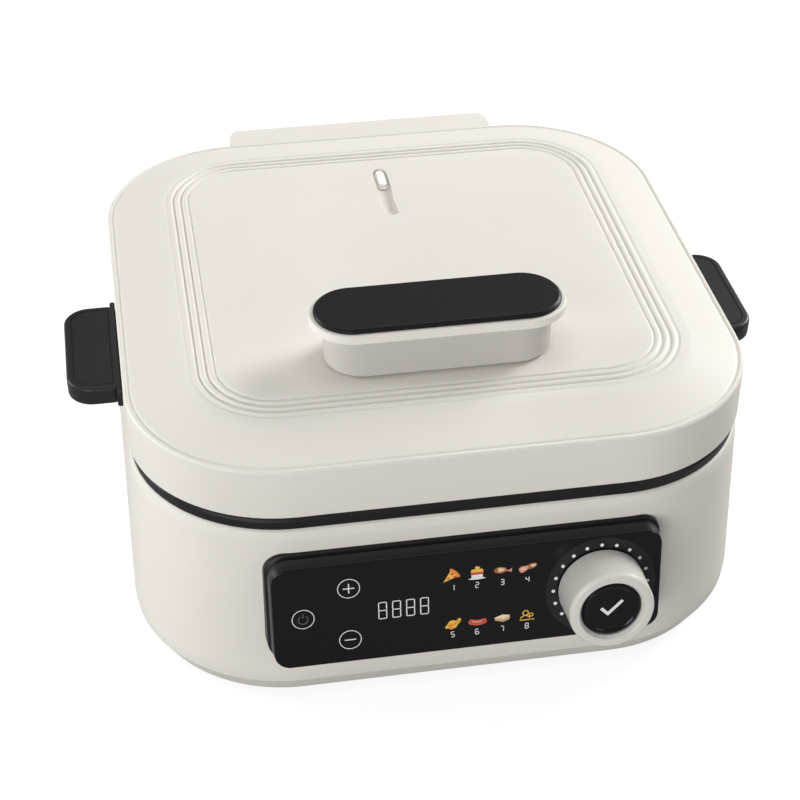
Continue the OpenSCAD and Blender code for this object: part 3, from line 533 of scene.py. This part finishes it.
knob_rows = [(7, KNOB_WEB, 0), (7, 1.2, 0.3), (4.55, 1.2, 0.2), (4.55, KNOB_WEB + 3, 0),
             (16.35, KNOB_WEB + 3, 0.3), (16.35, KNOB_TOP - 2.4, 0.6), (17.8, KNOB_TOP, 0.9),
             (21.9, KNOB_TOP, 1.2), (22.9, KNOB_TOP - 1.7, 0.8), (23.4, KNOB_FOOT, 0.4), (20.2, KNOB_FOOT, 0.2),
             (19.9, KNOB_WEB, 0.4), (7, KNOB_WEB, 0)]
button_rows = [(0.02, -5, 0), (2.4, -5, 0.3), (2.4, BUTTON_FOOT, 0.2), (16.0, BUTTON_FOOT, 0.3),
               (16.0, BUTTON_TOP - 1.1, 0.5), (15.0, BUTTON_TOP, 0.5), (13.9, BUTTON_TOP, 0.4),
               (13.1, BUTTON_TOP - 0.5, 0.5), (0.02, BUTTON_TOP - 0.45, 0)]
skin("knob_turner", on_knob(revolve(rounded(knob_rows, 5))), cream_knob, "knob",
     replaces=["knob_ring"], slot="cream_plastic")
skin("button_cap", on_knob(revolve(rounded(button_rows, 5))), gloss_black, "button",
     replaces=["press_button"], slot="black_plastic")


# printed marks: how far each kind stands out of its surface

INK_OUT, DISC_OUT, DOT_OUT, TICK_OUT = 0.06, 0.03, 0.08, 0.14


def prints(name, shapes, mat, place=on_panel, body="base", out=INK_OUT):
    """A printed piece of flat shapes, each an outer loop and the loops inside it: the region between them is
    filled a hair out of the surface, and a low wall closes it along every loop."""
    parts = []
    for loops in shapes:
        parts.append(fill_between([lift(loop, out) for loop in loops]))
        parts += [walls(loop, out, 0.0) for loop in loops]
    verts, faces = join(parts)
    make(name, place(verts), faces, mat, body, slot="white_plastic")


def bar(x, y, w, h):
    """Closed outline of an upright rectangle about its middle."""
    return np.array([(-w / 2, -h / 2), (w / 2, -h / 2), (w / 2, h / 2), (-w / 2, h / 2)]) + (x, y)


def plus(x, y, reach, half):
    """Closed outline of a plus sign about its middle: arms of the given reach and half width."""
    lower = [(-reach, -half), (-half, -half), (-half, -reach), (half, -reach), (half, -half), (reach, -half)]
    return np.concatenate([lower, -np.array(lower)]) + (x, y)


def stroke(points, w):
    """Closed outline of a line of even width: half the width left of its points, and back on the right."""
    p = np.asarray(points, float)
    t = np.gradient(p, axis=0)
    t /= np.linalg.norm(t, axis=1, keepdims=True)
    n = np.stack([-t[:, 1], t[:, 0]], 1) * w / 2
    return np.concatenate([p + n, (p - n)[::-1]])


def limb(points, w, n=10):
    """Closed outline of a line of even width with a half circle at each end."""
    p = np.asarray(points, float)
    side = stroke(p, w)
    half_turn = np.linspace(90, -90, n)[1:-1] * math.pi / 180
    first, last = p[0] - p[1], p[-1] - p[-2]
    head = p[-1] + w / 2 * heading(math.atan2(last[1], last[0]) + half_turn)
    tail = p[0] + w / 2 * heading(math.atan2(first[1], first[0]) + half_turn)
    return np.concatenate([side[:len(p)], head, side[len(p):], tail])


def arc(cx, cy, r, a0, a1, n=24):
    """Points along a circle from one angle in degrees to another."""
    return r * heading(np.radians(np.linspace(a0, a1, n))) + (cx, cy)


def ring_shape(cx, cy, r, w):
    """The two loops of a ring of width w about the radius r."""
    return [circle(r + w / 2, cx, cy, 48), circle(r - w / 2, cx, cy, 48)]


def blob(rx, ry, cx=0.0, cy=0.0, bumps=0, amp=0.0, n=36):
    """Closed loop of an ellipse whose radius swells and shrinks by the share amp, bumps times round."""
    a = np.linspace(0, 2 * math.pi, n, endpoint=False)
    return np.outer(1 + amp * np.cos(bumps * a), (rx, ry)) * heading(a) + (cx, cy)


def turned(loop, deg, cx=0.0, cy=0.0):
    """A loop turned about its middle, then moved."""
    c, s = math.cos(math.radians(deg)), math.sin(math.radians(deg))
    return np.stack([cx + c * loop[:, 0] - s * loop[:, 1], cy + s * loop[:, 0] + c * loop[:, 1]], 1)


def seven(cx, cy, w, h, t, lit):
    """Bars of a seven-bar digit, cut short by 0.7 of their thickness t so that they stand apart; lit has a 1
    for each bar that shows: top, upper right, lower right, bottom, lower left, upper left, middle."""
    flat, upright = (w - t * 0.7, t), (t, h / 2 - t * 0.7)
    bars = [(0, h / 2, flat), (w / 2, h / 4, upright), (w / 2, -h / 4, upright), (0, -h / 2, flat),
            (-w / 2, -h / 4, upright), (-w / 2, h / 4, upright), (0, 0, flat)]
    return [[bar(cx + x, cy + y, *size)] for on, (x, y, size) in zip(lit, bars) if on == "1"]


# touch keys and display
POWER_KEY, MORE_KEY, LESS_KEY = (-88.5, 0.9), (-64, 17.1), (-64, -15.4)
KEY_R, KEY_LINE, SIGN_HALF, SIGN_LINE = 5.8, 0.42, 3.0, 0.6
prints("key_rings", [ring_shape(*key, KEY_R, KEY_LINE) for key in (POWER_KEY, MORE_KEY, LESS_KEY)], print_white)
key_signs = [[plus(*MORE_KEY, SIGN_HALF, SIGN_LINE / 2)], [bar(*LESS_KEY, 2 * SIGN_HALF, SIGN_LINE)]]
prints("key_signs", key_signs, print_white)
POWER_R, POWER_OPEN, POWER_LINE, POWER_BAR = 2.6, (125, 415), 0.5, 2.8      # open ring with a bar in its gap
power_x, power_y = POWER_KEY
prints("power_sign", [[stroke(arc(power_x, power_y - 0.3, POWER_R, *POWER_OPEN), POWER_LINE)],
                      [bar(power_x, power_y + 2.0, POWER_LINE, POWER_BAR)]], print_dim)

DIGITS, DIGIT_X, DIGIT_Y, DIGIT_STEP = 4, -46.4, 0.9, 7.45
DIGIT_W, DIGIT_H, DIGIT_LINE = 4.2, 10.2, 0.55
ALL_LIT = "1111111"
prints("display_digits", [shape for i in range(DIGITS) for shape in seven(
    DIGIT_X + DIGIT_STEP * i, DIGIT_Y, DIGIT_W, DIGIT_H, DIGIT_LINE, ALL_LIT)], print_white)

# programs: two rows of four, each with a plain number under its pictogram
PROGRAM_X = [-9.0, 4.2, 17.8, 31.4]
UPPER_SIGN_Y, LOWER_SIGN_Y = 17.8, -13.2
NUMBER_YS = [10.4, -19.6]
NUMBER_W, NUMBER_H, NUMBER_LINE = 1.7, 3.3, 0.45
NUMBERS = ["0110000", "1101101", "1111001", "0110011", "1011011", "1011111", "1110000", ALL_LIT]
number_places = [(x, y) for y in NUMBER_YS for x in PROGRAM_X]
prints("program_numbers", [shape for place, lit in zip(number_places, NUMBERS) for shape in seven(
    *place, NUMBER_W, NUMBER_H, NUMBER_LINE, lit)], print_white)

SLICE, CAKE, FISH, ROAST = ((x, UPPER_SIGN_Y) for x in PROGRAM_X)
WING, SAUSAGE, TOAST, PERSON = ((x, LOWER_SIGN_Y) for x in PROGRAM_X)
SIGN_SIZE = 1.05
crust = arc(-4.6, -3.8, 8.4, 62, 24, 10)
# generic pictograms of plain shapes: name, place, ink, height over the glass, shapes about the sign's middle
SIGNS = [
    ("slice", SLICE, print_yellow, 0.06, [[np.concatenate([[(-4.6, -3.4)], crust])]]),
    ("slice_crust", SLICE, print_orange, 0.10, [[limb(crust, 1.5)]]),
    ("slice_top", SLICE, print_red, 0.12, [
        [blob(0.85, 0.7, -0.2, 1.2)], [blob(0.8, 0.65, 1.3, -0.7)], [blob(0.6, 0.5, -2.0, -1.3)]]),
    ("cake_cream", CAKE, print_white, 0.06, [
        [[(-2.9, -2.9), (2.9, -2.9), (2.9, -0.9), (-2.9, -0.9)]], [blob(4.3, 0.55, 0, -3.2)]]),
    ("cake_jam", CAKE, print_red, 0.06, [[[(-3.1, -0.9), (3.1, -0.9), (3.2, 0.6), (-3.2, 0.6)]]]),
    ("cake_top", CAKE, print_yellow, 0.06, [
        [rounded([(-3.2, 0.6, 0.1), (3.2, 0.6, 0.1), (3.0, 2.5, 1.2), (-3.0, 2.5, 1.2)], 5, closed=True)],
        [blob(1.2, 0.9, 0.1, 3.2, 3, 0.12)]]),
    ("fish", FISH, print_brown, 0.06, [[blob(3.3, 1.9, -1.0, 0.2)]]),
    ("fish_side", FISH, print_tan, 0.10, [[blob(1.9, 1.2, -0.7, 0.4, 3, 0.15)]]),
    ("fish_tail", FISH, print_pink, 0.06, [
        [[(2.0, -0.1), (3.6, -0.2), (4.9, 1.0), (4.7, -1.5), (3.4, -0.9), (2.0, -0.7)]]]),
    ("roast", ROAST, print_brown, 0.06, [[turned(blob(3.0, 1.5), 18, 1.9, 0.7)]]),
    ("roast_face", ROAST, print_tan, 0.09, [[turned(blob(1.5, 0.8), 18, 2.9, 1.1)]]),
    ("roast_cut", ROAST, print_pink, 0.10, [[turned(blob(2.6, 1.7, 0, 0, 3, 0.10), 24, -2.1, -0.6)]]),
    ("roast_fat", ROAST, print_white, 0.12, [
        [turned(blob(0.9, 0.25), 40, -2.6, -0.4)], [turned(blob(0.6, 0.2), 10, -1.3, -0.9)]]),
    ("wing", WING, print_yellow, 0.06, [
        [turned(blob(3.7, 2.3, 0, 0, 4, 0.14), 24)], [blob(1.0, 1.3, 3.3, 2.2)]]),
    ("wing_crisp", WING, print_orange, 0.10, [
        [turned(blob(1.5, 0.8), 30, -1.2, -0.5)], [turned(blob(1.2, 0.6), 15, 1.2, 0.3)],
        [blob(1.1, 0.7, -0.6, -2.3)]]),
    ("sausage", SAUSAGE, print_red, 0.06, [[limb(arc(0.4, 7.4, 8.0, 246, 292, 14), 3.4)]]),
    ("sausage_gloss", SAUSAGE, print_pink, 0.10, [[limb(arc(0.4, 7.4, 7.5, 250, 284, 12), 0.9)]]),
    ("toast", TOAST, print_tan, 0.06, [
        [[(-3.9, 1.1), (0.2, 2.6), (4.0, 1.9), (3.9, -0.6), (0.6, -1.9), (-3.7, -0.6)]]]),
    ("toast_top", TOAST, print_cream, 0.10, [[[(-3.6, 1.1), (0.2, 2.4), (3.7, 1.8), (0.5, 0.6)]]]),
    ("toast_fill", TOAST, print_brown, 0.10, [
        [[(-3.6, 0.1), (0.6, -0.9), (3.8, 0.2), (3.8, -0.1), (0.6, -1.3), (-3.6, -0.3)]]]),
    ("person", PERSON, print_yellow, 0.06, [
        ring_shape(-0.7, 1.9, 1.45, 0.55), ring_shape(2.2, 0.5, 0.95, 0.5),
        [limb([(-0.2, 0.3), (1.2, -0.6), (1.6, -2.3), (-3.7, -2.3), (-3.0, -0.6), (-1.4, 0.3)], 0.55)],
        [bar(3.0, -2.3, 1.7, 0.55)]]),
]
for sign, place, mat, out, shapes in SIGNS:
    placed = [[np.array(loop, float) * SIGN_SIZE + place for loop in loops] for loops in shapes]
    prints("sign_" + sign, placed, mat, out=out)

# dial round the knob, and the tick mark on the button
DIAL_R, DIAL_INNER_R, DOT_RING_R, DOT_R = 30.2, 24.0, 25.9, 1.0
DOT_FIRST, DOT_LAST, DOT_STEP = -36, 216, 18                    # degrees
prints("dial_disc", [[circle(r, KNOB_X, KNOB_Y, 96) for r in (DIAL_R, DIAL_INNER_R)]], print_grey,
       out=DISC_OUT)
dots = DOT_RING_R * heading(np.radians(np.arange(DOT_FIRST, DOT_LAST + 1, DOT_STEP))) + (KNOB_X, KNOB_Y)
prints("dial_dots", [[circle(DOT_R, x, y, 16)] for x, y in dots], print_white, out=DOT_OUT)
tick = np.array([(-6.2, 0.6), (-4.9, 1.7), (-1.9, -1.4), (5.3, 5.6), (6.5, 4.4), (-1.9, -3.8)])
prints("button_tick", [[tick]], print_white, place=on_button, body="button", out=TICK_OUT)


# stage, light and camera, in metres from the body's middle

WHITE = (1, 1, 1, 1)
FLOOR_HALF, FLOOR_GREY, FLOOR_GLOW = 4, (0.30, 0.30, 0.30, 1), 0.85
WORLD_LIGHT, WORLD_SEEN, MIRRORED_SHARE = 0.12, 1.0, 0.2
# name, place, aim, width and height, watts
LIGHTS = [
    ("key_right", (1.8, 1.0, 1.05), (0, 0, 0.12), (1.0, 1.0), 52),
    ("top_soft", (0.0, 0.5, 2.2), (0, 0, 0.1), (1.8, 1.8), 16),
    ("left_soft", (-2.2, 0.9, 0.7), (0, 0, 0.12), (1.2, 0.8), 34),
    ("front_fill", (-1.75, -1.5, 1.1), (0, 0, 0.08), (1.4, 1.0), 13),
    ("front_low", (-1.0, -2.2, 0.45), (0, 0, 0.08), (1.4, 0.7), 24.5),
    ("right_fill", (1.7, -1.7, 0.9), (0, 0, 0.08), (1.2, 0.8), 5.6),
]
CAMERA_PLACE = (-0.163237, -0.907035, 0.748945)
CAMERA_LENS, CAMERA_SENSOR = 84.33, 36.0
CAMERA_YAW, CAMERA_PITCH, CAMERA_ROLL = math.radians(9.922), math.radians(36.391), math.radians(0.3)


def from_middle(place):
    """A place measured from the body's middle, in the frame."""
    x, y, z = place
    return Vector((x, y + BODY_Y * MM, z))


def seen_directly(tree):
    """Socket that is 1 for rays from the camera or through a clear surface, a share for mirrored rays, and 0
    for diffuse light: the largest of the three."""
    rays = tree.nodes.new("ShaderNodeLightPath").outputs
    mirrored = work_out(tree, "MULTIPLY", rays["Is Glossy Ray"], MIRRORED_SHARE)
    seen = work_out(tree, "MAXIMUM", rays["Is Camera Ray"], mirrored)
    return work_out(tree, "MAXIMUM", seen, rays["Is Transmission Ray"])


def empty_tree(owner):
    """The node tree of a material or a world, cleared."""
    owner.use_nodes = True
    owner.node_tree.nodes.clear()
    return owner.node_tree


floor_white = bpy.data.materials.new("floor")
tree = empty_tree(floor_white)
paint = add_node(tree, "ShaderNodeBsdfDiffuse", {"Color": FLOOR_GREY})
strength = work_out(tree, "MULTIPLY", seen_directly(tree), FLOOR_GLOW)
glow = add_node(tree, "ShaderNodeEmission", {"Color": WHITE, "Strength": strength})
both = add_node(tree, "ShaderNodeAddShader", {0: paint.outputs["BSDF"], 1: glow.outputs["Emission"]})
add_node(tree, "ShaderNodeOutputMaterial", {"Surface": both.outputs["Shader"]})

floor_mesh = bpy.data.meshes.new("floor")
floor_mesh.from_pydata(lift(bar(0, 0, 2 * FLOOR_HALF, 2 * FLOOR_HALF), 0).tolist(), [], [(0, 1, 2, 3)])
floor_mesh.materials.append(floor_white)
floor = bpy.data.objects.new("floor", floor_mesh)
bpy.context.scene.collection.objects.link(floor)

world = bpy.data.worlds.new("studio")
bpy.context.scene.world = world
tree = empty_tree(world)
lighting = add_node(tree, "ShaderNodeBackground", {"Color": WHITE, "Strength": WORLD_LIGHT})
backdrop = add_node(tree, "ShaderNodeBackground", {"Color": WHITE, "Strength": WORLD_SEEN})
mix = add_node(tree, "ShaderNodeMixShader", {
    "Fac": seen_directly(tree), 1: lighting.outputs["Background"], 2: backdrop.outputs["Background"]})
add_node(tree, "ShaderNodeOutputWorld", {"Surface": mix.outputs["Shader"]})

for name, place, aim, size, watts in LIGHTS:
    lamp = bpy.data.lights.new(name, "AREA")
    lamp.shape = "RECTANGLE"
    lamp.size, lamp.size_y = size
    lamp.energy = watts
    light = bpy.data.objects.new(name, lamp)
    bpy.context.scene.collection.objects.link(light)
    light.location = from_middle(place)
    light.rotation_euler = (Vector(aim) - Vector(place)).to_track_quat("-Z", "Y").to_euler()

cam_data = bpy.data.cameras.new("camera")
cam = bpy.data.objects.new("camera", cam_data)
bpy.context.scene.collection.objects.link(cam)
cam_data.sensor_width = CAMERA_SENSOR
cam_data.lens = CAMERA_LENS
cam_data.clip_start, cam_data.clip_end = 0.05, 50.0
forward = Vector((math.sin(CAMERA_YAW) * math.cos(CAMERA_PITCH), math.cos(CAMERA_YAW) * math.cos(CAMERA_PITCH),
                  -math.sin(CAMERA_PITCH)))
level = Vector((math.cos(CAMERA_YAW), -math.sin(CAMERA_YAW), 0.0))
upright = level.cross(forward)
right = level * math.cos(CAMERA_ROLL) + upright * math.sin(CAMERA_ROLL)
up = upright * math.cos(CAMERA_ROLL) - level * math.sin(CAMERA_ROLL)
turn = Matrix((right, up, -forward)).transposed().to_4x4()
cam.matrix_world = Matrix.Translation(from_middle(CAMERA_PLACE)) @ turn
bpy.context.scene.camera = cam
bpy.context.scene.view_settings.view_transform = "Standard"
